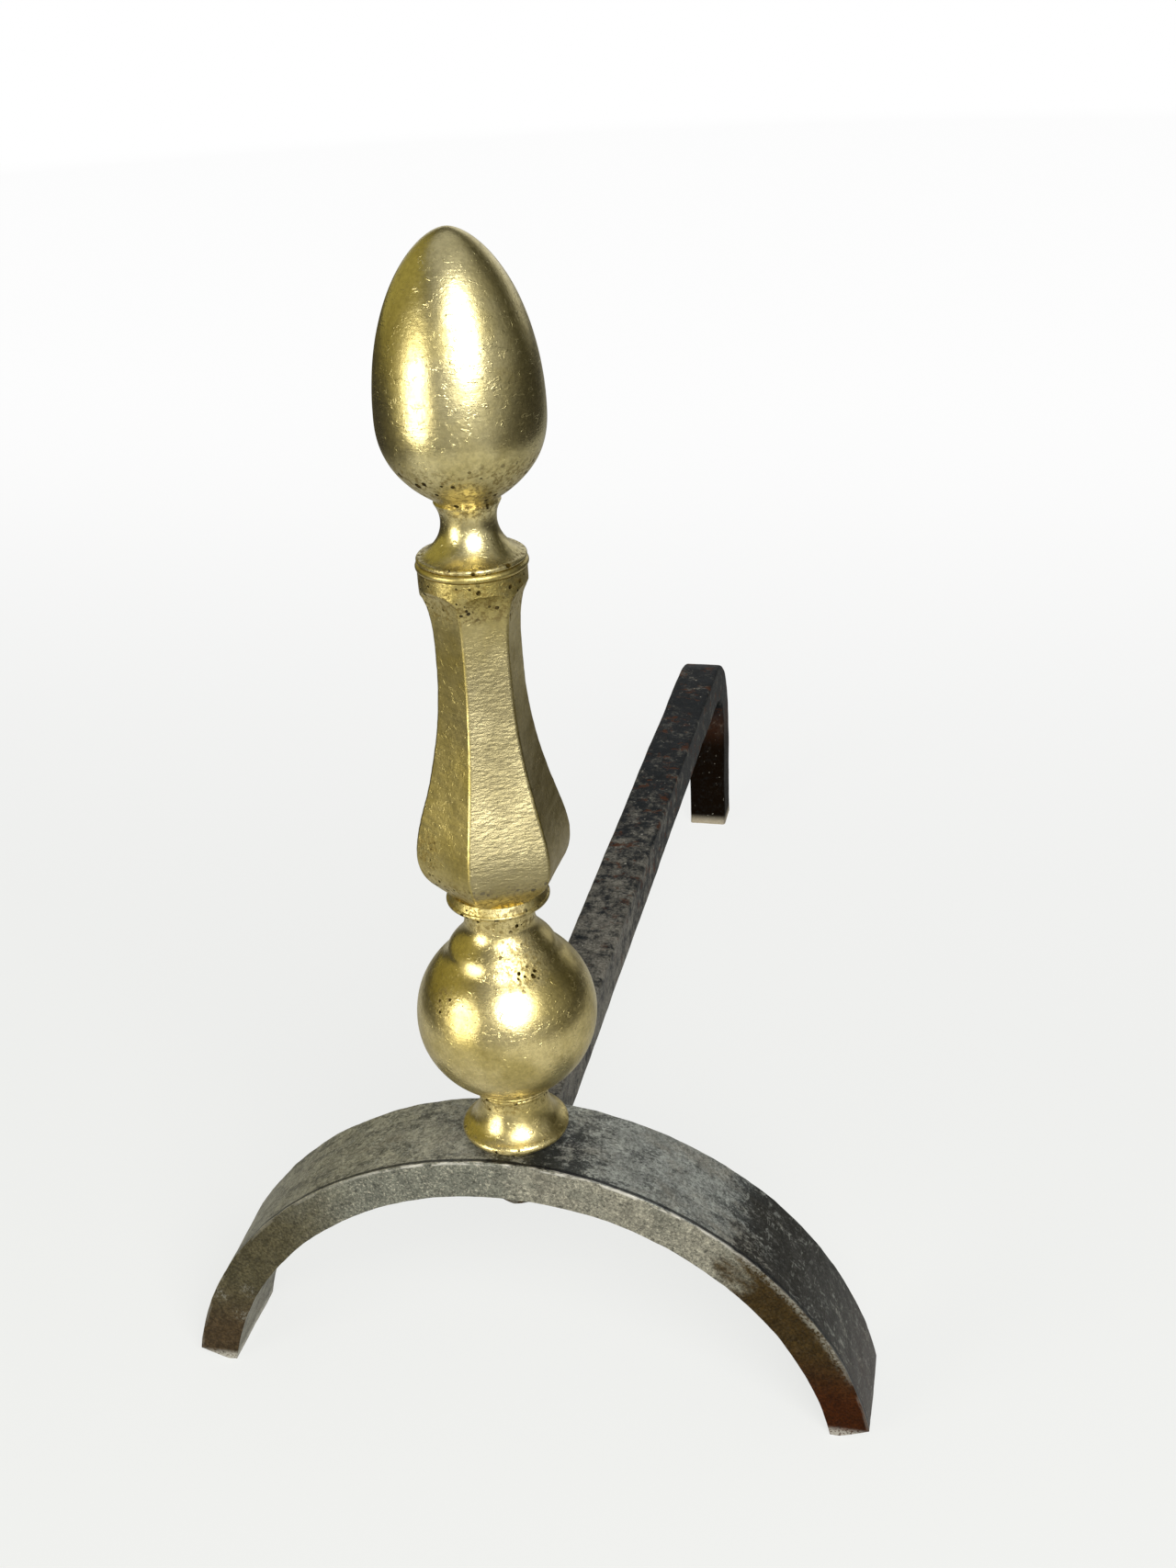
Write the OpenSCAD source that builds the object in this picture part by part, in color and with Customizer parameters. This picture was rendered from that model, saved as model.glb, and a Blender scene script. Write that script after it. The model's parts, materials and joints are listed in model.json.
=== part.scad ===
// Andiron: a turned brass post on an arched wrought-iron front, with a square billet bar behind
// that carries the logs and bends down into the rear leg. One iron rod clamps the brass castings
// to the arch and locks the bar's tenon. Millimetres, +Z up, +Y towards the back of the hearth.
// The origin lies on the floor, under the middle of the whole piece.

/* [Front arch] */
// Height of the arch's crown, and of the bar's top, above the floor
crown_h = 100.5; // [92:0.5:112]
// Outer radius of the arch
arch_r = 121.5; // [114:0.5:132]
// Thickness of the arch at its crown
arch_t = 14; // [12:0.5:18]
// How much the arch thins from its crown towards its feet
arch_thin = 0.5; // [0:0.1:1.5]
// Depth of the arch, front to back
arch_depth = 35; // [34:0.5:45]
// Width of the flat worn on the inner edge of each sole
sole_flat = 3.5; // [2:0.5:8]
// Angle of the rest of the sole above the floor
sole_lift = 20; // [8:1:28]

/* [Billet bar] */
// Side of the square bar
bar_side = 19; // [17.5:0.5:25]
// Length of the bar from the arch to the outer face of the rear leg
bar_len = 408.5; // [250:0.5:560]
// Outer radius of the bend into the rear leg
bend_r = 39; // [28:1:60]
// Width of the tenon
tenon_w = 16; // [15.5:0.5:17]
// Thickness of the tenon
tenon_t = 6.5; // [5:0.5:8]
// How far the tenon reaches past the rod's centre
tenon_past = 7; // [6:0.5:9]
// Radius of the worn edges along the bar
bar_wear = 1.5; // [0.5:0.1:3]

/* [Rod, washer and nut] */
// Diameter of the tie rod
rod_d = 9.5; // [8:0.1:10]
// Length of rod below the nut
rod_tail = 1.5; // [0.5:0.1:4]
// Length of rod inside the finial
rod_grip = 14; // [10:0.5:16]
// Diameter of the washer
washer_d = 21; // [18:0.5:24]
// Thickness of the washer
washer_t = 1.6; // [1:0.1:3]
// Width of the nut across its flats
nut_af = 16; // [14.5:0.5:19]
// Thickness of the nut
nut_t = 7.9; // [5:0.1:10]

/* [Pedestal] */
// Height of the pedestal
pedestal_h = 19.3; // [16:0.1:24]
// Radius of the seat that stands on the arch
seat_r = 13; // [11:0.1:14]
// Height of the seat under the lip
seat_h = 3; // [2:0.1:4]
// Radius of the rolled lip
lip_r = 17.4; // [16:0.1:17.4]
// Height of the rolled lip
lip_h = 3; // [2.4:0.1:3.6]
// Radius of the stem above the flare
stem_r = 10.6; // [9:0.1:11]

/* [Ball] */
// Height of the rolls under the ball
bead_h = 4.6; // [3:0.1:7]
// Radius where the rolls meet the ball
bead_r = 14.6; // [13:0.1:16]
// Radius of the ball
ball_r = 28.6; // [25:0.1:32]
// Radius of the shoulder on top of the ball
shoulder_r = 16.9; // [15:0.1:19]
// Height of the shoulder's slope
shoulder_h = 10.1; // [8:0.1:13]
// Radius of the throat above the shoulder
throat_r = 11; // [9:0.1:12]
// Height of the throat
throat_h = 8.2; // [4:0.1:10]

/* [Hexagonal column] */
// How far the column is turned on its rod, from a corner facing the front
column_turn = -2.4; // [-30:0.1:30]
// Radius of the round collar at the column's foot
collar_r = 16; // [14:0.1:17]
// Height of the collar
collar_h = 3.8; // [3:0.1:5]
// Radius over the column's corners at its widest
bulb_r = 24; // [21:0.1:27]
// Height of the widest place above the collar
bulb_rise = 15; // [12:0.1:20]
// Radius over the column's corners at its waist
waist_r = 12.9; // [12:0.1:15]
// Height of the waist above the widest place
waist_rise = 63.3; // [50:0.5:80]
// Height of the flare from the waist up to the ring
flare_rise = 21.9; // [16:0.1:26]
// Radius of the ring on top of the column
ring_r = 16.1; // [15.5:0.1:18]
// Height of the ring
ring_h = 5.8; // [4:0.1:7]

/* [Acorn finial] */
// Radius of the finial's rim on the ring
rim_r = 15.7; // [13:0.1:16]
// Height from the rim up to the narrowest place of the neck
neck_rise = 11.6; // [9:0.1:16]
// Radius of the neck
neck_r = 7.95; // [7.6:0.05:10]
// Height from the narrowest place of the neck to the top of the cuff
cuff_rise = 5.8; // [4:0.1:8]
// Radius of the cuff under the acorn
cuff_r = 9.5; // [9:0.1:11]
// Radius of the acorn
acorn_r = 23.5; // [20:0.1:27]
// Height of the acorn's lower half
acorn_low = 24.4; // [20:0.5:30]
// Height of the acorn's upper half
acorn_high = 48.5; // [38:0.1:60]

/* [Castings and fits] */
// Wall of the hollow castings
wall = 3.2; // [2.5:0.1:4]
// Gap between the rod and each hole that it passes through
rod_gap = 0.25; // [0.15:0.05:0.4]
// Gap round the tenon
tenon_gap = 0.2; // [0.1:0.05:0.4]

/* [Hidden] */
iron = [0.21, 0.20, 0.20];
bright_iron = [0.33, 0.32, 0.31];
brass = [0.71, 0.62, 0.36];
eps = 0.01;
edge = 0.5;
low_fullness = 2.4;
low_round = 0.75;
high_round = 0.58;
round_fn = 96;
arc_steps = 14;
big = 600;

// Plan: the post stands over the middle of the arch, the bar runs back from it
arch_back = arch_depth / 2;
bar_end = arch_back + bar_len;
front_reach = max(arch_back, ball_r, acorn_r);
post_y = (front_reach - bar_end) / 2;

// Arch: two circles, the inner one a little lower so that the legs are thinner than the crown
arch_z = crown_h - arch_r;
inner_r = arch_r - arch_t + arch_thin;
inner_z = crown_h - arch_t - inner_r;
inner_foot = sqrt(inner_r * inner_r - inner_z * inner_z);
sole_edge = inner_foot + sole_flat;

// Heights up the post
rod_r = rod_d / 2;
hole_r = rod_r + rod_gap;
z_washer = crown_h - arch_t;
z_nut = z_washer - washer_t;
z_tail = z_nut - nut_t - rod_tail;
z_bead = crown_h + pedestal_h;
z_ball_low = z_bead + bead_h;
z_ball = z_ball_low + sqrt(ball_r * ball_r - bead_r * bead_r);
z_shoulder = z_ball + sqrt(ball_r * ball_r - shoulder_r * shoulder_r);
z_throat = z_shoulder + shoulder_h;
z_collar = z_throat + throat_h;
z_taper = z_collar + collar_h;
z_bulb = z_taper + bulb_rise;
z_waist = z_bulb + waist_rise;
z_ring = z_waist + flare_rise;
z_rim = z_ring + ring_h;
z_neck = z_rim + neck_rise;
z_cuff = z_neck + cuff_rise;
z_girth = z_cuff + acorn_low;
z_top = z_girth + acorn_high;
z_rod_top = z_rim + rod_grip;

// Points of an arc about a centre, angles in degrees from +X
function arc(centre, r, from, to, steps = arc_steps) =
    [for (i = [0 : steps]) let (a = from + (to - from) * i / steps)
        centre + r * [cos(a), sin(a)]];

// Points of a smooth curve that leaves a towards b and reaches d from c
function curve(a, b, c, d, steps = arc_steps) =
    [for (i = [0 : steps]) let (t = i / steps, s = 1 - t)
        s * s * s * a + 3 * s * s * t * b + 3 * s * t * t * c + t * t * t * d];

// Radius of an egg at a share of the way from its girth to its end
function egg_low(r, share) = r * pow(1 - pow(share, low_fullness), low_round);
function egg_high(r, share) = r * pow(1 - pow(share, 2), high_round);

// Stands a drawing of height over breadth upright, with its breadth along X
module upright(depth) {
    rotate([90, 0, 0])
        linear_extrude(height = depth, center = true)
            children();
}

// Round hole for the tie rod, from one height to another
module rod_hole(low, high, r = hole_r) {
    translate([0, 0, low])
        cylinder(h = high - low, r = r, $fn = round_fn);
}

module sole_cut() {
    lift_h = tan(sole_lift) * arch_r;
    polygon([[sole_edge, -eps], [sole_edge, 0], [sole_edge + arch_r, lift_h],
             [sole_edge + arch_r, -arch_r], [0, -arch_r], [0, -eps]]);
}

module arch_outline() {
    difference() {
        translate([0, arch_z])
            circle(r = arch_r, $fn = 4 * round_fn);
        translate([0, inner_z])
            circle(r = inner_r, $fn = 4 * round_fn);
        translate([-arch_r, -big])
            square([2 * arch_r, big]);
        sole_cut();
        mirror([1, 0])
            sole_cut();
    }
}

module mortise() {
    w = tenon_w + 2 * tenon_gap;
    h = tenon_t + 2 * tenon_gap;
    reach = tenon_past + tenon_gap;
    translate([-w / 2, -reach, crown_h - arch_t / 2 - h / 2])
        cube([w, reach + arch_back + eps, h]);
}

module front_arch() {
    color(iron)
        translate([0, post_y, 0])
            difference() {
                upright(arch_depth)
                    arch_outline();
                mortise();
                rod_hole(z_washer - eps, crown_h + eps);
                rod_hole(z_nut, z_washer, washer_d / 2 + rod_gap);
            }
}

// Square section of the bar, its corners worn to narrow flats
module bar_section() {
    half = bar_side / 2;
    cut = half - bar_wear;
    polygon([[-half, -cut], [-cut, -half], [cut, -half], [half, -cut],
             [half, cut], [cut, half], [-cut, half], [-half, cut]]);
}

module tenon() {
    translate([-tenon_w / 2, -tenon_past, crown_h - arch_t / 2 - tenon_t / 2])
        cube([tenon_w, tenon_past + arch_back + eps, tenon_t]);
}

module billet_bar() {
    color(iron)
        translate([0, post_y, 0])
            difference() {
                union() {
                    translate([0, arch_back, crown_h - bar_side / 2])
                        rotate([-90, 0, 0])
                            linear_extrude(height = bar_len - bend_r)
                                bar_section();
                    translate([0, bar_end - bend_r, crown_h - bend_r])
                        rotate([90, 0, 90])
                            rotate_extrude(angle = 90, $fn = 2 * round_fn)
                                translate([bend_r - bar_side / 2, 0])
                                    bar_section();
                    translate([0, bar_end - bar_side / 2, 0])
                        linear_extrude(height = crown_h - bend_r)
                            bar_section();
                    tenon();
                }
                rod_hole(crown_h - arch_t, crown_h);
            }
}

module tie_rod() {
    tip = 2 * edge;
    color(bright_iron)
        translate([0, post_y, 0])
            rotate_extrude($fn = round_fn)
                polygon([[0, z_tail], [rod_r - tip, z_tail], [rod_r, z_tail + tip],
                         [rod_r, z_rod_top - tip], [rod_r - tip, z_rod_top], [0, z_rod_top]]);
}

module rod_washer() {
    color(bright_iron)
        translate([0, post_y, 0])
            difference() {
                rod_hole(z_nut, z_washer, washer_d / 2);
                rod_hole(z_nut - eps, z_washer + eps);
            }
}

// Hexagonal nut, its lower corners turned off to a shallow cone
module rod_nut() {
    corner = nut_af / sqrt(3);
    low = z_nut - nut_t;
    cone = 30;
    fall = (corner - nut_af / 2) * tan(cone);
    color(bright_iron)
        translate([0, post_y, 0])
            difference() {
                intersection() {
                    translate([0, 0, low])
                        rotate(90)
                            cylinder(h = nut_t, r = corner, $fn = 6);
                    rotate_extrude($fn = round_fn)
                        polygon([[0, low], [nut_af / 2, low], [corner, low + fall],
                                 [corner, z_nut], [0, z_nut]]);
                }
                rod_hole(low - eps, z_nut + eps, rod_r);
            }
}

// Low seat, a rolled lip over it, and a hollow flare that sweeps up to the stem
module pedestal() {
    roll = lip_h / 2;
    lip_mid = crown_h + seat_h + roll;
    shelf = lip_r - 2 * edge;
    flare_low = lip_mid + roll;
    sweep = pedestal_h * 0.2;
    color(brass)
        translate([0, post_y, 0])
            rotate_extrude($fn = round_fn)
                polygon(concat(
                    [[hole_r, crown_h], [seat_r, crown_h], [seat_r, crown_h + seat_h - edge]],
                    arc([lip_r - roll, lip_mid], roll, -80, 60),
                    curve([shelf, flare_low], [shelf - sweep * 0.75, flare_low + 2 * edge],
                          [stem_r, flare_low + sweep * 0.8], [stem_r, z_bead - sweep]),
                    [[stem_r, z_bead], [hole_r, z_bead]]));
}

// Sphere between three small rolls below and a rounded shoulder above
module ball() {
    low_a = -acos(bead_r / ball_r);
    high_a = acos(shoulder_r / ball_r);
    rolls = 3;
    step = 0.7;
    roll = bead_h / rolls / 2;
    crease_r = (shoulder_r + throat_r) / 2;
    z_crease = z_shoulder + shoulder_h * 0.52;
    color(brass)
        translate([0, post_y, 0])
            difference() {
                rotate_extrude($fn = round_fn)
                    polygon(concat(
                        [[0, z_bead]],
                        [for (k = [1 : rolls]) each
                            arc([bead_r - (rolls + 1 - k) * step - roll, z_bead + (2 * k - 1) * roll],
                                roll, -90, 90, 8)],
                        arc([0, z_ball], ball_r, low_a, high_a, 4 * arc_steps),
                        curve([shoulder_r, z_shoulder + eps], [shoulder_r + edge, z_shoulder + shoulder_h * 0.26],
                              [shoulder_r - edge, z_crease - edge], [crease_r, z_crease]),
                        curve([crease_r - eps, z_crease], [throat_r + 2 * edge, z_crease + edge],
                              [throat_r, z_throat - shoulder_h * 0.25], [throat_r, z_throat]),
                        [[throat_r, z_collar], [0, z_collar]]));
                translate([0, 0, z_ball])
                    sphere(r = ball_r - wall, $fn = round_fn);
                rod_hole(z_bead - eps, z_collar + eps);
            }
}

// Radius over the corners of the column, from the collar up to the ring
taper_pull = bulb_rise * 0.25;
bulb_pull = bulb_rise * 0.62;
swell_pull = waist_rise * 0.21;
waist_pull = waist_rise * 0.6;
flare_pull = flare_rise * 0.53;
ring_pull = flare_rise * 0.14;
column_curve = concat(
    curve([ring_r - edge, z_taper], [ring_r + 4 * edge, z_taper + taper_pull],
          [bulb_r, z_bulb - bulb_pull], [bulb_r, z_bulb]),
    curve([bulb_r, z_bulb], [bulb_r, z_bulb + swell_pull],
          [waist_r, z_waist - waist_pull], [waist_r, z_waist], 2 * arc_steps),
    curve([waist_r, z_waist], [waist_r, z_waist + flare_pull],
          [waist_r + 2 * edge, z_ring - ring_pull], [ring_r / cos(30), z_ring]));

// One pair of the column's opposite faces, running along Y
module face_pair() {
    flats = [for (p = column_curve) [p[0] * cos(30), p[1]]];
    upright(4 * bulb_r)
        polygon(concat([for (p = flats) p],
                       [for (i = [len(flats) - 1 : -1 : 0]) [-flats[i][0], flats[i][1]]]));
}

module column() {
    hollow_r = hole_r + 3 * edge;
    hollow_wide = bulb_r * cos(30) - wall;
    high_end = z_ring - flare_rise * 0.4;
    rim = collar_h * 0.22;
    root_r = collar_r - 3 * edge;
    bead = ring_h * 0.2;
    band_r = ring_r - edge;
    color(brass)
        translate([0, post_y, 0])
            rotate(column_turn)
                difference() {
                    union() {
                        intersection() {
                            intersection_for (k = [0 : 2])
                                rotate(60 * k)
                                    face_pair();
                            rotate_extrude($fn = round_fn)
                                polygon([[0, z_taper], [root_r, z_taper],
                                         [bulb_r, z_bulb - bulb_rise * 0.45],
                                         [bulb_r, z_bulb + waist_rise / 2],
                                         [band_r, z_waist], [band_r, z_ring], [0, z_ring]]);
                        }
                        rotate_extrude($fn = round_fn)
                            polygon(concat(
                                [[0, z_collar]],
                                arc([collar_r - rim, z_collar + rim], rim, -90, 70),
                                [[root_r, z_taper], [0, z_taper]]));
                        rotate_extrude($fn = round_fn)
                            polygon(concat(
                                [[0, z_ring - edge], [band_r, z_ring - edge], [band_r, z_rim - 2 * bead]],
                                arc([ring_r - bead, z_rim - bead], bead, -70, 90),
                                [[0, z_rim]]));
                    }
                    rotate_extrude($fn = round_fn)
                        polygon(concat(
                            [[0, z_taper], [hollow_r, z_taper]],
                            curve([hollow_r, z_taper], [hollow_wide, z_taper + wall],
                                  [hollow_wide, z_bulb + bulb_rise / 2],
                                  [hollow_r, z_waist - waist_rise * 0.45]),
                            [[hollow_r, high_end], [0, high_end]]));
                    rod_hole(z_collar - eps, z_rim + eps);
                }
}

module finial() {
    rim_h = 1.6;
    lip = rim_h / 2;
    sweep = neck_rise * 0.4;
    core = wall + edge;
    root = acorn_low * 1.12;
    color(brass)
        translate([0, post_y, 0])
            difference() {
                rotate_extrude($fn = round_fn)
                    polygon(concat(
                        [[0, z_rim]],
                        arc([rim_r - lip, z_rim + lip], lip, -90, 80),
                        curve([rim_r - lip - edge, z_rim + rim_h], [rim_r - sweep, z_rim + 2 * rim_h],
                              [neck_r, z_neck - sweep], [neck_r, z_neck]),
                        curve([neck_r, z_neck + eps], [neck_r, z_neck + lip],
                              [cuff_r - edge, z_cuff - rim_h], [cuff_r, z_cuff - edge]),
                        [[cuff_r - edge, z_cuff]],
                        [for (i = [0 : 2 * arc_steps]) let (u = acorn_low / root * (1 - i / (2 * arc_steps)))
                            if (egg_low(acorn_r, u) > cuff_r)
                                [egg_low(acorn_r, u), z_girth - u * root]],
                        [for (i = [1 : 3 * arc_steps]) let (u = sin(90 * i / (3 * arc_steps)))
                            [egg_high(acorn_r, u), z_girth + u * acorn_high]]));
                rotate_extrude($fn = round_fn)
                    polygon(concat(
                        [[0, z_cuff], [rod_r, z_cuff]],
                        [for (i = [0 : arc_steps]) let (u = 1 - i / arc_steps)
                            [max(rod_r, egg_low(acorn_r - core, u)),
                             z_girth - u * (acorn_low - core)]],
                        [for (i = [1 : arc_steps]) let (u = sin(90 * i / arc_steps))
                            [egg_high(acorn_r - core, u), z_girth + u * (acorn_high - core)]]));
                rod_hole(z_rim - eps, z_cuff + eps, rod_r);
            }
}

front_arch();
billet_bar();
tie_rod();
rod_washer();
rod_nut();
pedestal();
ball();
column();
finial();
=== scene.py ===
import json
import math

import bmesh
import bpy
from mathutils import Matrix, Vector

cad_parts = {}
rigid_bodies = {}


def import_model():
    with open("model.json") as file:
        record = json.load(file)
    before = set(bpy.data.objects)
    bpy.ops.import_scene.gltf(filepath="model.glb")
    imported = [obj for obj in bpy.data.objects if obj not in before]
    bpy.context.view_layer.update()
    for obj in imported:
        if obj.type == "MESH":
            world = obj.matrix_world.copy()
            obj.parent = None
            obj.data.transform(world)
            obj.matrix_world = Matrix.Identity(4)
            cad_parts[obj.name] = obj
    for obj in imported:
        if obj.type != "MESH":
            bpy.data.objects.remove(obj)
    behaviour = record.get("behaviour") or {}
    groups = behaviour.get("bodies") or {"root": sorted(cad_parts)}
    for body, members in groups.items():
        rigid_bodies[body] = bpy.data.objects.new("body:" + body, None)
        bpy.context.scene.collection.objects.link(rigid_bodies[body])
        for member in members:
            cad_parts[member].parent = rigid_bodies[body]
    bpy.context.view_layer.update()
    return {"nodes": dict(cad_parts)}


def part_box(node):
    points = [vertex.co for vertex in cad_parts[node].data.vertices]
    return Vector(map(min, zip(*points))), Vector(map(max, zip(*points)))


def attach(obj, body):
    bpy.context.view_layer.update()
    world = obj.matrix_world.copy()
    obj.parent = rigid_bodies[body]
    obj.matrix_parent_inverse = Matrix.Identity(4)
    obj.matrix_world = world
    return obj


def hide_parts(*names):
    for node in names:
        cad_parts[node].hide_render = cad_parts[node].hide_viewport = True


for leftover in list(bpy.data.objects):
    bpy.data.objects.remove(leftover)
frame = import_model()
bpy.ops.object.select_all(action="DESELECT")
scene = bpy.context.scene
mm = 0.001

# the CAD gives the post's place and the heights where its castings meet
washerLow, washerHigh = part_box("rod_washer")
postY = (washerLow.y + washerHigh.y) / 2
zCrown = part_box("pedestal")[0].z / mm
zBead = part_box("ball")[0].z / mm
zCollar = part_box("column")[0].z / mm
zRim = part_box("finial")[0].z / mm
holeR = 5.0  # the hole for the rod, through iron and brass
past = 1.0  # how far a cutting tool reaches past what it cuts


# drawing helpers, all in mm
def curve(a, b, c, d, steps=16):
    points = []
    for i in range(steps + 1):
        t = i / steps
        s = 1 - t
        shares = (s**3, 3 * s * s * t, 3 * s * t * t, t**3)
        points.append(tuple(sum(share * p[k] for share, p in zip(shares, (a, b, c, d))) for k in (0, 1)))
    return points


def arc(centre, radius, fromDeg, toDeg, steps=10):
    points = []
    for i in range(steps + 1):
        angle = math.radians(fromDeg + (toDeg - fromDeg) * i / steps)
        points.append((centre[0] + radius * math.cos(angle), centre[1] + radius * math.sin(angle)))
    return points


# mesh helpers
weldGap = 0.005  # points closer than this are one
cloudReach = 0.4  # the cloud texture stays this close to its middle, but for rare peaks


def added(name):
    piece = bpy.context.object
    piece.name = name
    piece.data.name = name
    bpy.ops.object.transform_apply(location=True, rotation=True, scale=True)
    return piece


def choose(*pieces):
    bpy.ops.object.select_all(action="DESELECT")
    for piece in pieces:
        piece.select_set(True)
    bpy.context.view_layer.objects.active = pieces[0]


def edit(piece):
    choose(piece)
    bpy.ops.object.mode_set(mode="EDIT")
    bpy.ops.mesh.select_all(action="SELECT")


def pick(piece, kind, test):
    bpy.ops.mesh.select_mode(type=kind)
    bpy.ops.mesh.select_all(action="DESELECT")
    mesh = bmesh.from_edit_mesh(piece.data)
    for item in mesh.verts if kind == "VERT" else mesh.edges:
        if test(item):
            item.select_set(True)
    mesh.select_flush_mode()
    bmesh.update_edit_mesh(piece.data)


def closeUp(smoothDeg=35):
    bpy.ops.mesh.select_mode(type="VERT")
    bpy.ops.mesh.select_all(action="SELECT")
    bpy.ops.mesh.remove_doubles(threshold=weldGap * mm)
    bpy.ops.mesh.normals_make_consistent(inside=False)
    bpy.ops.object.mode_set(mode="OBJECT")
    bpy.ops.object.shade_smooth_by_angle(angle=math.radians(smoothDeg))


def applied(piece, step):
    choose(piece)
    bpy.ops.object.modifier_apply(modifier=step.name)


def cut(piece, tool, how="DIFFERENCE"):
    step = piece.modifiers.new("cut", "BOOLEAN")
    step.object = tool
    step.operation = how
    step.solver = "EXACT"
    applied(piece, step)
    bpy.data.objects.remove(tool)


def bevelEdges(piece, width, segments, limitDeg=30):
    step = piece.modifiers.new("edges", "BEVEL")
    step.width = width * mm
    step.segments = segments
    step.limit_method = "ANGLE"
    step.angle_limit = math.radians(limitDeg)
    step.use_clamp_overlap = True
    applied(piece, step)


# surface unevenness: grain and depth in mm, stretch draws the pattern out along an axis
def uneven(piece, grain, depth, stretch=(1, 1, 1), shift=0.0):
    texture = bpy.data.textures.new(piece.name + "Uneven", "CLOUDS")
    texture.noise_scale = grain * mm
    texture.noise_depth = 2
    holder = bpy.data.objects.new("patternHolder", None)
    scene.collection.objects.link(holder)
    holder.scale = stretch
    holder.location = (shift, shift, shift)
    bpy.context.view_layer.update()
    step = piece.modifiers.new("uneven", "DISPLACE")
    step.texture = texture
    step.texture_coords = "OBJECT"
    step.texture_coords_object = holder
    step.strength = depth / cloudReach * mm
    step.mid_level = 0.5
    applied(piece, step)
    bpy.data.objects.remove(holder)


# one corner is drawn along the profile and spun round the post
def turned(name, profile, steps=192, smoothDeg=35):
    bpy.ops.mesh.primitive_plane_add(size=mm, location=(0, postY, 0))
    piece = added(name)
    edit(piece)
    bpy.ops.mesh.merge(type="CENTER")
    bpy.ops.transform.translate(value=(profile[0][0] * mm, 0, profile[0][1] * mm))
    for here, there in zip(profile, profile[1:]):
        move = ((there[0] - here[0]) * mm, 0, (there[1] - here[1]) * mm)
        bpy.ops.mesh.extrude_region_move(TRANSFORM_OT_translate={"value": move})
    bpy.ops.mesh.select_all(action="SELECT")
    bpy.ops.mesh.spin(steps=steps, angle=2 * math.pi, center=(0, postY, 0), axis=(0, 0, 1))
    closeUp(smoothDeg)
    return piece


# a round plug on the post's axis, to cut with
def plug(name, radius, low, high, steps=64):
    return turned(name, [(0, low), (radius, low), (radius, high), (0, high)], steps)


# the tenon's block, or the mortise's: its front and back are counted from the post
def tenonBlock(name, wide, thick, front, back):
    bpy.ops.mesh.primitive_cube_add(
        size=1,
        location=(0, postY + (front + back) / 2 * mm, (zCrown - archSizes["thick"] / 2) * mm),
        scale=(wide * mm, (back - front) * mm, thick * mm),
    )
    return added(name)


# the brass castings
pedestalSizes = {
    "seatRadius": 13.0,
    "seatHeight": 3.0,
    "lipRadius": 17.4,
    "lipHeight": 3.0,
    "stemRadius": 10.6,
    "stemStraight": 2.0,
    # the flare's handles, in shares of its rise: in from the shelf and up, then out from the stem and up
    "flareFoot": (0.18, 0.1),
    "flareHead": (0.09, 0.3),
    "edge": 0.5,
    "waveGrain": 14,
    "waviness": 0.12,
}


def makePedestal():
    s = pedestalSizes
    stem = s["stemRadius"]
    roll = s["lipHeight"] / 2
    lipMid = zCrown + s["seatHeight"] + roll
    shelf = s["lipRadius"] - 2 * s["edge"]
    low = lipMid + roll
    rise = zBead - low
    profile = [(holeR, zCrown), (s["seatRadius"], zCrown), (s["seatRadius"], lipMid - roll)]
    profile += arc((s["lipRadius"] - roll, lipMid), roll, -85, 60, 14)
    foot = (shelf - rise * s["flareFoot"][0], low + rise * s["flareFoot"][1])
    head = (stem + rise * s["flareHead"][0], low + rise * s["flareHead"][1])
    profile += curve((shelf, low), foot, head, (stem, zBead - s["stemStraight"]), 24)
    profile += [(stem, zBead), (holeR, zBead), (holeR, zCrown)]
    piece = turned("turnedPedestal", profile)
    uneven(piece, s["waveGrain"], s["waviness"])
    return piece


ballSizes = {
    "beadRadius": 14.6,
    "beadHeight": 4.6,
    "beadRolls": 3,
    "rollStep": 0.7,
    "radius": 28.6,
    "shoulderRadius": 16.9,
    "shoulderHeight": 10.1,
    "throatRadius": 11.0,
    "throatStraight": 2.0,
    "blend": 2.7,
    # the worn shoulder's curves, in shares of the blend out from its sharp corner and up from it
    "toRidge": ((0.63, -0.5), (0.3, 0.0), (0.1, 0.4)),
    "toBrow": ((-0.05, 0.8), (-0.3, 1.2), (-0.63, 1.55)),
    "offBrow": (-1.3, 2.3),
    "intoThroat": 0.75,
    "waveGrain": 22,
    "waviness": 0.12,
}


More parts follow.
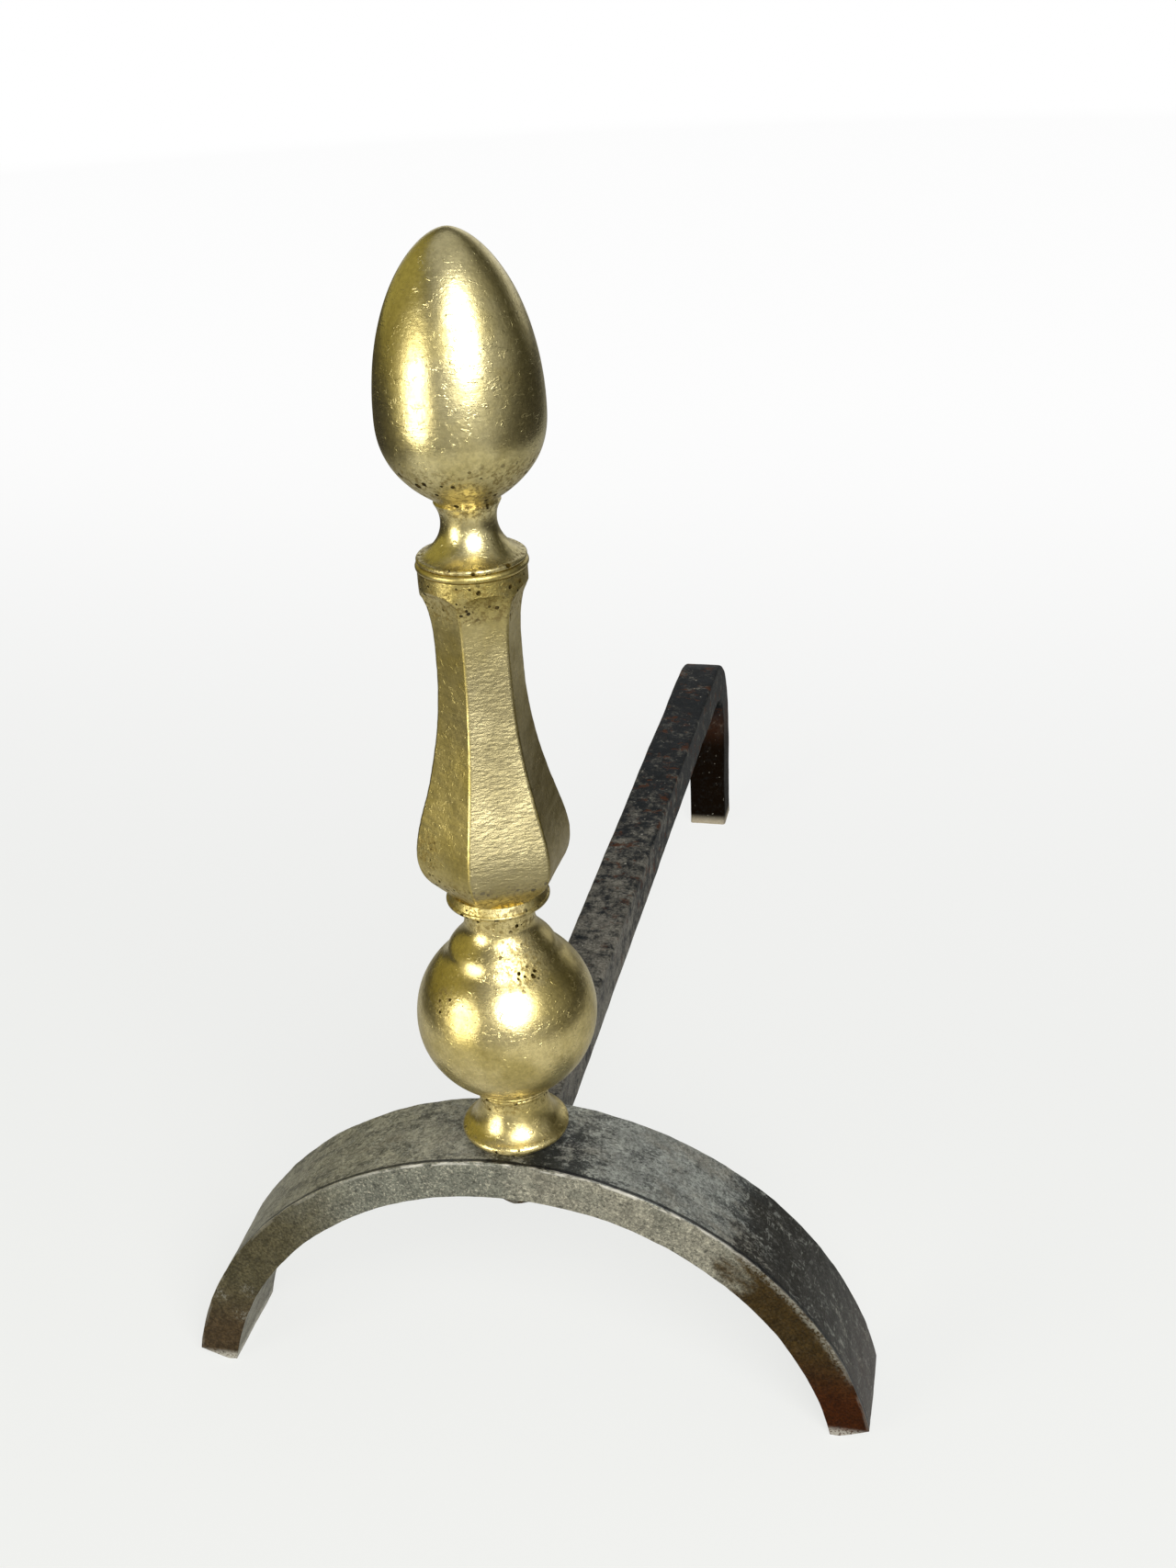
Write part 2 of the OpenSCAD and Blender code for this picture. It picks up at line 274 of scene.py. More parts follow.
def makeBall():
    s = ballSizes
    rolls = s["beadRolls"]
    roll = s["beadHeight"] / (2 * rolls)
    shoulder = s["shoulderRadius"]
    throat = s["throatRadius"]
    blend = s["blend"]
    zLow = zBead + s["beadHeight"]
    zMid = zLow + math.sqrt(s["radius"] ** 2 - s["beadRadius"] ** 2)
    zShoulder = zMid + math.sqrt(s["radius"] ** 2 - shoulder**2)
    zThroat = zShoulder + s["shoulderHeight"]
    lowDeg = -math.degrees(math.acos(s["beadRadius"] / s["radius"]))
    highDeg = math.degrees(math.acos((shoulder + blend) / s["radius"]))
    profile = [(holeR, zBead)]
    # small rolls carry the ball, and a rounded shoulder tops it
    for k in range(1, rolls + 1):
        middle = s["beadRadius"] - (rolls + 1 - k) * s["rollStep"] - roll
        profile += arc((middle, zBead + (2 * k - 1) * roll), roll, -90, 90)
    profile += arc((0, zMid), s["radius"], lowDeg, highDeg, 64)

    def worn(share):
        return (shoulder + blend * share[0], zShoulder + blend * share[1])

    # file and cloth have rounded the shoulder: out of the ball, over its ridge and up into the throat
    for handles in (s["toRidge"], s["toBrow"]):
        profile += curve(profile[-1], *(worn(share) for share in handles), 10)[1:]
    low = (throat, zThroat - blend * s["intoThroat"])
    profile += curve(profile[-1], worn(s["offBrow"]), low, (throat, zThroat + s["throatStraight"]), 26)[1:]
    profile.append((throat, zCollar))
    profile += [(holeR, zCollar), (holeR, zBead)]
    piece = turned("turnedBall", profile, 224)
    uneven(piece, s["waveGrain"], s["waviness"])
    return piece


columnSizes = {
    "turnDeg": -2.4,
    "collarRadius": 16.0,
    "collarHeight": 3.8,
    "bulbRadius": 24.0,
    "bulbRise": 15.0,
    "waistRadius": 12.9,
    "waistRise": 63.3,
    "flareRise": 21.9,
    "ringRadius": 16.1,
    "ringHeight": 5.8,
    # the reach of each curve's two handles, in shares of its rise
    "bulbPull": (0.25, 0.62),
    "waistPull": (0.21, 0.6),
    "flarePull": (0.53, 0.14),
    "bulbTrim": 0.45,  # a cone off the collar rounds the corners up to this share below the bulb
    "overrun": 1.2,  # the facets run past both ends, and are trimmed there
    "lap": 0.02,  # the collar reaches this far into the facets
    "proud": 0.03,  # the ring's band stands this far out of them
    "collarRoll": 0.22,
    "ringRoll": 0.2,
    "edge": 0.5,
    "cornerWear": 0.7,
    "ripple": 0.16,
    # unevenness: grain, share of the ripple, stretch, and where the pattern is taken from
    "dents": ((1.8, 0.5, (2.4, 2.4, 1), 0.0), (16, 0.8, (1, 1, 1), 0.31)),
}


def makeColumn():
    s = columnSizes
    edge = s["edge"]
    zTaper = zCollar + s["collarHeight"]
    zBulb = zTaper + s["bulbRise"]
    zWaist = zBulb + s["waistRise"]
    zRing = zWaist + s["flareRise"]
    ring, bulb, waist = s["ringRadius"], s["bulbRadius"], s["waistRadius"]
    root = s["collarRadius"] - 3 * edge
    band = ring - edge
    outline = [(band, zTaper - s["overrun"])]
    outline += curve(
        (band, zTaper),
        (ring + 4 * edge, zTaper + s["bulbRise"] * s["bulbPull"][0]),
        (bulb, zBulb - s["bulbRise"] * s["bulbPull"][1]),
        (bulb, zBulb),
        18,
    )
    outline += curve(
        outline[-1],
        (bulb, zBulb + s["waistRise"] * s["waistPull"][0]),
        (waist, zWaist - s["waistRise"] * s["waistPull"][1]),
        (waist, zWaist),
        70,
    )[1:]
    outline += curve(
        outline[-1],
        (waist, zWaist + s["flareRise"] * s["flarePull"][0]),
        (waist + 2 * edge, zRing - s["flareRise"] * s["flarePull"][1]),
        (ring / math.cos(math.radians(30)), zRing),
        26,
    )[1:]
    outline.append((outline[-1][0] * 1.02, zRing + s["overrun"]))
    # six corners are raised ring by ring to the outline's radius
    bpy.ops.mesh.primitive_circle_add(
        vertices=6,
        radius=outline[0][0] * mm,
        location=(0, postY, outline[0][1] * mm),
        rotation=(0, 0, math.radians(s["turnDeg"])),
    )
    piece = added("hexColumn")
    edit(piece)
    bpy.ops.mesh.subdivide(number_cuts=15)
    for here, there in zip(outline, outline[1:]):
        bpy.ops.mesh.extrude_region_move(TRANSFORM_OT_translate={"value": (0, 0, (there[1] - here[1]) * mm)})
        grow = there[0] / here[0]
        bpy.ops.transform.resize(value=(grow, grow, 1), center_override=(0, postY, there[1] * mm))
    closeUp()
    bevelEdges(piece, s["cornerWear"], 3, 45)
    for grain, share, stretch, shift in s["dents"]:
        uneven(piece, grain, s["ripple"] * share, stretch, shift)
    edit(piece)
    for end in (zTaper - s["overrun"], zRing + s["overrun"]):
        pick(piece, "EDGE", lambda e: e.is_boundary and abs(e.verts[0].co.z - end * mm) < mm)
        bpy.ops.mesh.edge_face_add()
    closeUp()
    low, high = zTaper - s["overrun"] / 2, zRing + s["overrun"] / 2
    trim = [(0, low), (root, low), (root, zTaper), (bulb, zBulb - s["bulbRise"] * s["bulbTrim"])]
    trim += [(bulb + edge, zBulb + s["waistRise"] / 2), (band, zWaist), (band, high), (0, high)]
    cut(piece, turned("roundLimit", trim), "INTERSECT")
    cut(piece, plug("boreRound", holeR, zCollar - past, zRim + past, 48))
    rim = s["collarHeight"] * s["collarRoll"]
    zLap = zTaper + s["lap"]
    profile = [(holeR, zCollar)] + arc((s["collarRadius"] - rim, zCollar + rim), rim, -90, 70)
    collar = turned("collarRound", profile + [(root, zLap), (holeR, zLap), (holeR, zCollar)])
    # the ring's plain band lies under its bead
    bead = s["ringHeight"] * s["ringRoll"]
    zBand = zRing - edge
    profile = [(holeR, zBand), (band + s["proud"], zBand), (band + s["proud"], zRim - 2 * bead)]
    profile += arc((ring - bead, zRim - bead), bead, -70, 90, 12)
    top = turned("ringRound", profile + [(holeR, zRim), (holeR, zBand)])
    choose(piece, collar, top)
    bpy.ops.object.join()
    edit(piece)
    closeUp(40)
    return piece


finialSizes = {
    "rimRadius": 15.7,
    "rimHeight": 1.6,
    "neckRise": 11.6,
    "neckRadius": 7.95,
    "cuffRise": 5.8,
    "cuffRadius": 9.5,
    "acornRadius": 23.5,
    "acornLow": 24.4,
    "acornHigh": 48.5,
    # how full the acorn is: the powers of its curves below and above its widest place
    "lowFullness": (2.4, 0.75),
    "highFullness": 0.58,
    "rootReach": 1.12,
    "neckSweep": 0.4,
    "edge": 0.5,
    "waveGrain": 24,
    "waviness": 0.14,
}


def makeFinial():
    s = finialSizes
    edge = s["edge"]
    zNeck = zRim + s["neckRise"]
    zCuff = zNeck + s["cuffRise"]
    zGirth = zCuff + s["acornLow"]
    sweep = s["neckRise"] * s["neckSweep"]
    root = s["acornLow"] * s["rootReach"]
    threadR = fastenerSizes["rodRadius"]
    rimR, neckR, cuffR = s["rimRadius"], s["neckRadius"], s["cuffRadius"]
    rim = s["rimHeight"]
    lip = rim / 2
    profile = [(threadR, zRim)]
    profile += arc((rimR - lip, zRim + lip), lip, -90, 80)
    # the neck sweeps in from the rim and out to the cuff
    low, high = (rimR - sweep, zRim + 2 * rim), (neckR, zNeck - sweep)
    profile += curve((rimR - lip - edge, zRim + rim), low, high, (neckR, zNeck), 22)
    low, high = (neckR, zNeck + s["cuffRise"] / 2), (cuffR - edge, zCuff - rim)
    profile += curve(profile[-1], low, high, (cuffR, zCuff - edge))[1:]
    profile.append((cuffR - edge, zCuff))
    inner, outer = s["lowFullness"]
    steps = 40
    for i in range(steps + 1):
        share = s["acornLow"] / root * (1 - i / steps)
        radius = s["acornRadius"] * (1 - share**inner) ** outer
        if radius > cuffR:
            profile.append((radius, zGirth - share * root))
    steps = 60
    for i in range(1, steps + 1):
        share = math.sin(math.pi / 2 * i / steps)
        radius = s["acornRadius"] * max(0, 1 - share**2) ** s["highFullness"]
        profile.append((radius, zGirth + share * s["acornHigh"]))
    profile += [(0, zCuff), (threadR, zCuff), (threadR, zRim)]
    piece = turned("acornFinial", profile, 224)
    uneven(piece, s["waveGrain"], s["waviness"])
    return piece


# the forged iron
rodHoleSpan = (60, zCrown + 5 * past)  # heights between which the rod's hole is drilled
archSizes = {
    "radius": 121.5,
    "thick": 14.0,
    "thin": 0.5,
    "depth": 35.0,
    "soleFlat": 3.5,
    "soleLift": 20,
    "mortiseGap": 0.2,
    "washerSeatRadius": 10.75,
    "edgeWear": 0.8,
    "hammer": 0.3,
    # hammer marks: grain, share of the depth, and where the pattern is taken from
    "dents": ((9, 0.6, 0.0), (30, 1.0, 0.7), (2.5, 0.2, 0.2)),
    "cutsDeep": 25,
    "cutsThick": 9,
    "stepsRound": 280,
}


def makeArch():
    s = archSizes
    centre = zCrown - s["radius"]
    midR = s["radius"] - s["thick"] / 2
    # the flat bar's section, cut fine enough to take hammer marks, is swept round the arch
    bpy.ops.mesh.primitive_plane_add(size=1, location=(midR * mm, postY, centre * mm))
    bpy.context.object.scale = (s["thick"] * mm, s["depth"] * mm, 1)
    piece = added("forgedArch")
    edit(piece)
    bpy.ops.mesh.delete(type="ONLY_FACE")
    pick(piece, "EDGE", lambda e: abs(e.verts[0].co.y - e.verts[1].co.y) > mm)
    bpy.ops.mesh.subdivide(number_cuts=s["cutsDeep"])
    pick(piece, "EDGE", lambda e: abs(e.verts[0].co.x - e.verts[1].co.x) > mm)
    bpy.ops.mesh.subdivide(number_cuts=s["cutsThick"])
    bpy.ops.mesh.select_all(action="SELECT")
    bpy.ops.mesh.spin(steps=s["stepsRound"], angle=math.pi, center=(0, postY, centre * mm), axis=(0, 1, 0))
    # the hollow side is a little lower and wider, so that the legs thin towards the feet
    innerR = s["radius"] - s["thick"]
    pick(piece, "VERT", lambda v: math.hypot(v.co.x, v.co.z - centre * mm) < (innerR + 0.1) * mm)
    grow = (innerR + s["thin"]) / innerR
    bpy.ops.transform.resize(value=(grow, 1, grow), center_override=(0, postY, centre * mm))
    bpy.ops.transform.translate(value=(0, 0, -s["thin"] * mm))
    for side in (-1, 1):
        pick(piece, "EDGE", lambda e: e.is_boundary and e.verts[0].co.x * side > 0)
        bpy.ops.mesh.edge_face_add()
    innerCentre = centre - s["thin"]
    soleEdge = math.sqrt((innerR + s["thin"]) ** 2 - innerCentre**2) + s["soleFlat"]
    lift = math.radians(s["soleLift"])
    cuts = [((0, postY, 0), (0, 0, 1))]
    for side in (-1, 1):
        cuts.append(((side * soleEdge * mm, postY, 0), (-side * math.sin(lift), 0, math.cos(lift))))
    for place, normal in cuts:
        bpy.ops.mesh.select_all(action="SELECT")
        bpy.ops.mesh.bisect(plane_co=place, plane_no=normal, use_fill=True, clear_inner=True)
    closeUp()
    bevelEdges(piece, s["edgeWear"], 3)
    for grain, share, shift in s["dents"]:
        uneven(piece, grain, s["hammer"] * share, shift=shift)
    # the mortise, the rod's hole and the washer's flat seat
    wide, thick = (barSizes[k] + 2 * s["mortiseGap"] for k in ("tenonWide", "tenonThick"))
    front, back = -barSizes["tenonPast"] - s["mortiseGap"], s["depth"] / 2 + past
    cut(piece, tenonBlock("mortiseBlock", wide, thick, front, back))
    seat = zCrown - s["thick"]
    cut(piece, plug("rodHole", holeR, *rodHoleSpan))
    cut(piece, plug("washerSeat", s["washerSeatRadius"], seat - 3 * past, seat))
    return piece


barSizes = {
    "side": 19.0,
    "long": 408.5,
    "bend": 39.0,
    "tenonWide": 16.0,
    "tenonThick": 6.5,
    "tenonPast": 7.0,
    "edgeWear": 1.5,
    "hammer": 0.25,
    "dents": ((11, 0.6, 0.4), (45, 1.0, 0.9)),
    "cutsAcross": 11,
    "cutsAlong": 220,
    "cutsBend": 36,
    "cutsLeg": 36,
}


def makeBar():
    s = barSizes
    half = s["side"] / 2
    front = archSizes["depth"] / 2
    end = front + s["long"]
    bend = s["bend"]
    bpy.ops.mesh.primitive_plane_add(
        size=s["side"] * mm, location=(0, postY + front * mm, (zCrown - half) * mm), rotation=(math.pi / 2, 0, 0)
    )
    piece = added("forgedBar")
    edit(piece)
    bpy.ops.mesh.bevel(offset=s["edgeWear"] * mm, segments=4, affect="VERTICES")
    bpy.ops.mesh.delete(type="ONLY_FACE")
    pick(piece, "EDGE", lambda e: e.calc_length() > half * mm)
    bpy.ops.mesh.subdivide(number_cuts=s["cutsAcross"])
    # the straight run, then the bend, then the leg
    bpy.ops.mesh.select_all(action="SELECT")
    bpy.ops.mesh.extrude_region_move(TRANSFORM_OT_translate={"value": (0, (s["long"] - bend) * mm, 0)})
    pick(piece, "EDGE", lambda e: abs(e.verts[0].co.y - e.verts[1].co.y) > bend * mm)
    bpy.ops.mesh.subdivide(number_cuts=s["cutsAlong"])
    far = postY + (end - bend) * mm
    pick(piece, "VERT", lambda v: v.co.y > far - 0.1 * mm)
    hub = (0, far, (zCrown - bend) * mm)
    bpy.ops.mesh.spin(steps=s["cutsBend"], angle=math.pi / 2, center=hub, axis=(1, 0, 0))
    pick(piece, "VERT", lambda v: v.co.z < (zCrown - bend + 0.1) * mm)
    bpy.ops.mesh.extrude_region_move(TRANSFORM_OT_translate={"value": (0, 0, (bend - zCrown) * mm)})
    pick(piece, "EDGE", lambda e: abs(e.verts[0].co.z - e.verts[1].co.z) > bend * mm)
    bpy.ops.mesh.subdivide(number_cuts=s["cutsLeg"])
    for test in (lambda e: e.verts[0].co.z < mm, lambda e: e.verts[0].co.y < postY + (front + 1) * mm):
        pick(piece, "EDGE", lambda e: e.is_boundary and test(e))
        bpy.ops.mesh.edge_face_add()
    closeUp(50)
    for grain, share, shift in s["dents"]:
        uneven(piece, grain, s["hammer"] * share, shift=shift)
    tenon = tenonBlock("tenonBlock", s["tenonWide"], s["tenonThick"], -s["tenonPast"], front + past / 2)
    cut(piece, tenon, "UNION")
    cut(piece, plug("tenonHole", holeR, *rodHoleSpan))
    return piece


# the fasteners under the crown
fastenerSizes = {
    "rodRadius": 4.75,
    "rodTip": 1.0,
    "threadPitch": 1.5,
    "threadDeep": 0.45,
    "threadCrest": 0.2,
    "threadLow": 12,
    "threadHigh": 16,
    "washerRadius": 10.5,
    "washerGrain": 4,
    "washerWaviness": 0.04,
    "nutFlats": 16.0,
    "edge": 0.3,
}


def makeWasher():
    s = fastenerSizes
    low, high = washerLow.z / mm, washerHigh.z / mm
    outer, edge = s["washerRadius"], s["edge"]
    profile = [(holeR, low), (outer - edge, low), (outer, low + edge), (outer, high - edge), (outer - edge, high)]
    piece = turned("plainWasher", profile + [(holeR, high), (holeR, low)], 96)
    uneven(piece, s["washerGrain"], s["washerWaviness"])
    return piece


def makeNut():
    s = fastenerSizes
    low, high = (corner.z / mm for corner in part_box("rod_nut"))
    corner = s["nutFlats"] / math.sqrt(3)
    inner = s["nutFlats"] / 2
    bpy.ops.mesh.primitive_cylinder_add(
        vertices=6, radius=corner * mm, depth=(high - low) * mm, location=(0, postY, (low + high) / 2 * mm)
    )
    piece = added("hexNut")
    fall = (corner - inner) * math.tan(math.radians(30))
    cone = [(0, low), (inner, low), (corner, low + fall), (corner, high - fall), (inner, high), (0, high)]
    cut(piece, turned("nutCone", cone, 96), "INTERSECT")
    cut(piece, plug("nutBore", s["rodRadius"], low - past, high + past, 96))
    edit(piece)
    closeUp()
    return piece


def makeRod():
    s = fastenerSizes
    low, high = (corner.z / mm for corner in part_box("tie_rod"))
    radius = s["rodRadius"]
    # threads at both ends, plain between them
    profile = [(0, low), (radius - s["rodTip"], low), (radius, low + s["rodTip"])]
    for start, stop in ((low + s["rodTip"], low + s["threadLow"]), (high - s["threadHigh"], high - s["rodTip"])):
        z = start
        while z + s["threadPitch"] < stop:
            profile += [(radius, z + s["threadCrest"]), (radius - s["threadDeep"], z + s["threadPitch"] / 2)]
            z += s["threadPitch"]
            profile.append((radius, z))
    profile += [(radius - s["rodTip"], high), (0, high)]
    return turned("tieRod", profile, 64, 25)


# the materials
def toLinear(hexColour):
    parts = [int(hexColour[i : i + 2], 16) / 255 for i in (1, 3, 5)]
    return [c / 12.92 if c <= 0.04045 else ((c + 0.055) / 1.055) ** 2.4 for c in parts] + [1]


def tones(values):
    return {key: toLinear(value) for key, value in values.items() if isinstance(value, str)}


def addNode(tree, kind, inputs=None, **settings):
    node = tree.nodes.new(kind)
    for key, value in settings.items():
        setattr(node, key, value)
    for key, value in (inputs or {}).items():
        if isinstance(value, bpy.types.NodeSocket):
            tree.links.new(value, node.inputs[key])
        else:
            node.inputs[key].default_value = value
    return node


def axes(tree, vector):
    return addNode(tree, "ShaderNodeSeparateXYZ", {"Vector": vector}).outputs


def newMaterial(name):
    material = bpy.data.materials.new(name)
    material.use_nodes = True
    tree = material.node_tree
    tree.nodes.clear()
    shader = addNode(tree, "ShaderNodeBsdfPrincipled")
    addNode(tree, "ShaderNodeOutputMaterial", {"Surface": shader.outputs[0]})
    place = addNode(tree, "ShaderNodeTexCoord").outputs["Object"]
    return material, tree, shader, place


def noise(tree, place, grain, detail=3, roughness=0.55, stretch=(1, 1, 1), shift=(0, 0, 0), turn=(0, 0, 0)):
    # grain is the pattern's size in mm
    laid = {"Vector": place, "Location": shift, "Rotation": turn, "Scale": [1 / k for k in stretch]}
    laid = addNode(tree, "ShaderNodeMapping", laid).outputs[0]
    cloud = {"Vector": laid, "Scale": 1 / (grain * mm), "Detail": detail, "Roughness": roughness}
    return addNode(tree, "ShaderNodeTexNoise", cloud).outputs["Fac"]


def ramp(tree, value, low, high, fromValue=0.0, toValue=1.0):
    ends = {"Value": value, "From Min": low, "From Max": high, "To Min": fromValue, "To Max": toValue}
    return addNode(tree, "ShaderNodeMapRange", ends, interpolation_type="SMOOTHSTEP").outputs[0]


def mixed(tree, share, first, second):
    return addNode(tree, "ShaderNodeMix", {0: share, 6: first, 7: second}, data_type="RGBA").outputs[2]


# one operation, taken over as many values as are given
def maths(tree, how, first, *others):
    for other in others or (0.0,):
        first = addNode(tree, "ShaderNodeMath", {0: first, 1: other}, operation=how).outputs[0]
    return first


def times(tree, *values):
    return maths(tree, "MULTIPLY", *values)


# a pattern times gain, plus base
def gained(tree, value, gain, base):
    return maths(tree, "ADD", times(tree, value, gain), base)


def total(tree, parts):
    # adds up pairs of pattern and weight
    return maths(tree, "ADD", *(times(tree, pattern, weight) for pattern, weight in parts))


# 1 inside a span of heights or widths (mm), fading out over soft mm
def within(tree, value, low, high, soft):
    up = ramp(tree, value, (low - soft) * mm, low * mm)
    return times(tree, up, ramp(tree, value, (high + soft) * mm, high * mm))


# 1 round a place in mm from the post's foot, fading out towards its reach
def near(tree, place, point, reach):
    point = (point[0] * mm, postY + point[1] * mm, point[2] * mm)
    away = addNode(tree, "ShaderNodeVectorMath", {0: place, 1: point}, operation="DISTANCE").outputs["Value"]
    return ramp(tree, away, reach * mm, reach * 0.4 * mm)


# 1 on the facets that look to one side: degrees from the front towards the right
def lookingTo(tree, turn, low):
    normal = addNode(tree, "ShaderNodeNewGeometry").outputs["True Normal"]
    side = (math.sin(math.radians(turn)), -math.cos(math.radians(turn)), 0)
    dot = addNode(tree, "ShaderNodeVectorMath", {0: normal, 1: side}, operation="DOT_PRODUCT").outputs["Value"]
    return ramp(tree, dot, low, 0.9)


# thin wandering lines, where a stretched noise crosses its middle value
def marks(tree, place, grain, thin, stretch, turn, shift):
    field = noise(tree, place, grain, 2, 0.5, stretch, shift, turn)
    off = maths(tree, "ABSOLUTE", maths(tree, "SUBTRACT", field, 0.5))
    breaks = ramp(tree, noise(tree, place, grain * 1.3, 2, shift=(7, shift[0], 3)), 0.52, 0.62)
    return times(tree, ramp(tree, off, thin, thin * 0.3), breaks)


# a fine mottle, which makes a colour up to depth lighter and darker
def mottled(tree, place, colour, grain, depth, shift=(5, 2, 9)):
    cloud = ramp(tree, noise(tree, place, grain, 4, 0.75, shift=shift), 0.36, 0.64, 1 - depth, 1 + depth)
    return addNode(tree, "ShaderNodeVectorMath", {0: colour, "Scale": cloud}, operation="SCALE").outputs[0]


# what every metal ends in: its colour, a roughness of gloss and patterns, and its relief in mm
def surfaced(tree, shader, colour, gloss, rough, relief):
    bump = addNode(tree, "ShaderNodeBump", {"Height": total(tree, relief), "Strength": 1, "Distance": mm})
    rough = maths(tree, "ADD", total(tree, rough), gloss)
    for socket, value in (("Base Color", colour), ("Roughness", rough), ("Normal", bump.outputs[0])):
        tree.links.new(value, shader.inputs[socket])


# Cast brass, file-finished and hand-polished, then left to age: a pale satin gloss with broad khaki
# clouds, wavy file and polishing marks that sparkle, and small black casting pits by the crevices.
brassValues = {
    "polished": "#E3D6A0",
    "clouded": "#C3B57C",
    "olive": "#94834A",
    "pit": "#2B2109",
    "tarnish": "#6F5C2A",
    "cloudGrain": 20,
    "oliveShare": 0.45,
    "pitGrain": 1.9,
    "pitSize": 0.46,
    "tarnishShare": 0.7,
    "gloss": 0.22,
    "speckles": [],  # where pits also gather: a place from the post's foot, and its reach
    "fileMarks": 0.0,
}
goldBrassValues = {**brassValues, "polished": "#E1D094", "clouded": "#BDAC6C", "olive": "#807030"}
# each casting's pits keep to spans of height: from, to, and how softly they end
footBrassValues = {**goldBrassValues, "pitBands": [(100, 105, 3), (116, 120, 1.5)]}
ballBrassValues = {
    **goldBrassValues,
    "pitBands": [(119, 131, 3), (184, 191, 2)],
    "speckles": [((11, -14, 176), 13), ((-14, -20, 163), 7), ((2, -11, 187), 6)],
}
filedBrassValues = {
    **brassValues,
    "polished": "#CDBD80",
    "clouded": "#AD9D5C",
    "olive": "#7C6A28",
    "filed": "#8D8772",
    "dull": "#7D6D3B",
    "gloss": 0.29,
    "pitBands": [(190, 202, 6), (286, 296, 3)],
    "speckles": [((-16, -12, 212), 9)],
    "fileMarks": 0.36,
    "filedSides": (27.6, 147.6, 267.6),
    "dullSide": 87.6,
    "swell": (212, 264, 34),
}
acornBrassValues = {**brassValues, "pitGrain": 2.7, "pitBands": [(300, 302, 1), (316, 328, 7)]}


def makeBrass(name, values):
    material, tree, shader, place = newMaterial(name)
    tone = tones(values)
    height = axes(tree, place)["Z"]
    clouds = ramp(tree, noise(tree, place, values["cloudGrain"], 5), 0.36, 0.66)
    colour = mixed(tree, clouds, tone["polished"], tone["clouded"])
    stain = ramp(tree, noise(tree, place, 7, 5, 0.7, shift=(2, 5, 1)), 0.52, 0.75)
    colour = mixed(tree, times(tree, stain, values["oliveShare"]), colour, tone["olive"])
    colour = mottled(tree, place, colour, 1.2, 0.12)
    # casting pits keep to their bands and speckles, and to patches within them
    zones = [within(tree, height, *band) for band in values["pitBands"]]
    zones += [near(tree, place, point, reach) for point, reach in values["speckles"]]
    zone = maths(tree, "MAXIMUM", *zones)
    cells = addNode(tree, "ShaderNodeTexVoronoi", {"Vector": place, "Scale": 1 / (values["pitGrain"] * mm)})
    chosen = addNode(tree, "ShaderNodeSeparateColor", {"Color": cells.outputs["Color"]}).outputs[0]
    size = ramp(tree, chosen, 0.25, 1.0, 0.0, values["pitSize"])
    ragged = total(tree, [(cells.outputs["Distance"], 1.0), (noise(tree, place, 0.7, 2), 0.25)])
    pits = maths(tree, "LESS_THAN", ragged, maths(tree, "ADD", size, 0.06))
    patches = ramp(tree, noise(tree, place, 8, 3, shift=(3, 1, 2)), 0.42, 0.52)
    pits = times(tree, pits, patches, zone)
    colour = mixed(tree, pits, colour, tone["pit"])
    tarnish = ramp(tree, noise(tree, place, 1.5, 4, 0.7, shift=(4, 4, 0)), 0.47, 0.6)
    tarnish = times(tree, tarnish, zone, values["tarnishShare"])
    colour = mixed(tree, tarnish, colour, tone["tarnish"])
    # polishing lines run round the post, and broken wavy marks lie across them
    lines = noise(tree, place, 0.45, 2, stretch=(40, 40, 1))
    waves = marks(tree, place, 2.4, 0.03, (2.2, 2.2, 1), (0.3, 0.2, 0), (0, 3, 1))
    scratches = marks(tree, place, 2.2, 0.02, (1, 1, 2), (0.9, 0.5, 0.4), (6, 1, 2))
    relief = [
        (noise(tree, place, 5, 3, 0.5, shift=(9, 2, 4)), 0.07),
        (noise(tree, place, 1.6, 3, 0.6), 0.05),
        (noise(tree, place, 0.8, 2, 0.6, shift=(6, 6, 1)), 0.025),
        (lines, 0.018),
        (noise(tree, place, 0.9, 3, 0.6, shift=(1, 7, 3)), times(tree, zone, 0.1)),
        (waves, 0.05),
        (scratches, -0.02),
        (pits, -0.2),
        (tarnish, -0.03),
    ]
    rough = [(clouds, 0.07), (stain, 0.08), (lines, 0.08), (pits, 0.4), (tarnish, 0.3)]
    if values["fileMarks"]:
        # file marks lie across every other facet, strongest where the column swells
        filed = maths(tree, "MAXIMUM", *(lookingTo(tree, side, 0.82) for side in values["filedSides"]))
        swell = times(tree, within(tree, height, *values["swell"]), filed)
        colour = mixed(tree, times(tree, swell, 0.6), colour, tone["filed"])
        # the facet that looks to the right has been polished least
        dull = times(tree, lookingTo(tree, values["dullSide"], 0.8), ramp(tree, height, 0.285, 0.235, 0.1, 1.0))
        speckled = gained(tree, noise(tree, place, 0.9, 3, 0.7), 0.9, 0.35)
        colour = mixed(tree, times(tree, dull, speckled, 0.85), colour, tone["dull"])
        strokes = noise(tree, place, 0.95, 3, 0.6, stretch=(2.6, 2.6, 1))
        relief.append((strokes, times(tree, swell, values["fileMarks"])))
        rough.append((swell, 0.1))
    surfaced(tree, shader, colour, values["gloss"], rough, relief)
    shader.inputs["Metallic"].default_value = 1
    return material


# Wrought iron, forged hot: a thin blue-black scale worn to mottled grey, with a sandy front face,
# brown rust towards the feet and on the leg, and edges and soles rubbed bright; the arch's top front edge also has a
# painted highlight and a painted shade line, and its top has painted sheen streaks.
ironValues = {"scale": "#15191B", "grey": "#66635A", "sand": "#94917F", "gloss": 0.38, "metal": 0.55}


